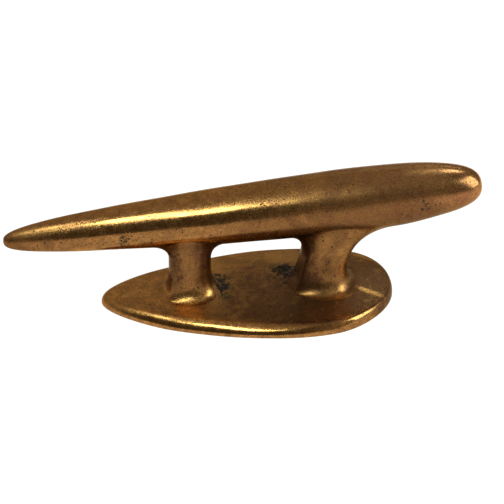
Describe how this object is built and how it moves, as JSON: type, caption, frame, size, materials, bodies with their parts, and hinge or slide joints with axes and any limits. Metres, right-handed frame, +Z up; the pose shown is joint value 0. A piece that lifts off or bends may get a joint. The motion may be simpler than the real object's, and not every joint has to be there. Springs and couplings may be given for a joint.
{
  "type": "horn cleat",
  "caption": "Bronze mooring cleat: a tapering bar with one slim and one blunt horn on two filleted posts over an egg-shaped base plate with tapped holes below.",
  "frame": {"origin": "on the underside of the base plate, below the middle of the bar", "axes": "+X along the cleat towards the blunt horn, +Y across it, +Z up from the deck"},
  "size_m": [0.2532, 0.0858, 0.0755],
  "materials": {
    "bar_bronze": "worn polish with brown patina",
    "post_bronze": "hand-rubbed brown patina",
    "base_bronze": "dark brown patina with a polished rim",
    "stud_bronze": "turned",
    "nut_bronze": "turned",
    "fibre": "red fibre"
  },
  "bodies": {
    "root": {"horn_bar": "bar_bronze", "small_post": "post_bronze", "large_post": "post_bronze", "base_plate": "base_bronze", "small_post_tie_stud": "stud_bronze", "large_post_tie_stud": "stud_bronze", "small_post_sleeve_nut": "nut_bronze", "large_post_sleeve_nut": "nut_bronze", "small_post_nut_washer": "fibre", "large_post_nut_washer": "fibre", "small_post_dowel": "stud_bronze", "large_post_dowel": "stud_bronze"}
  },
  "joints": []
}
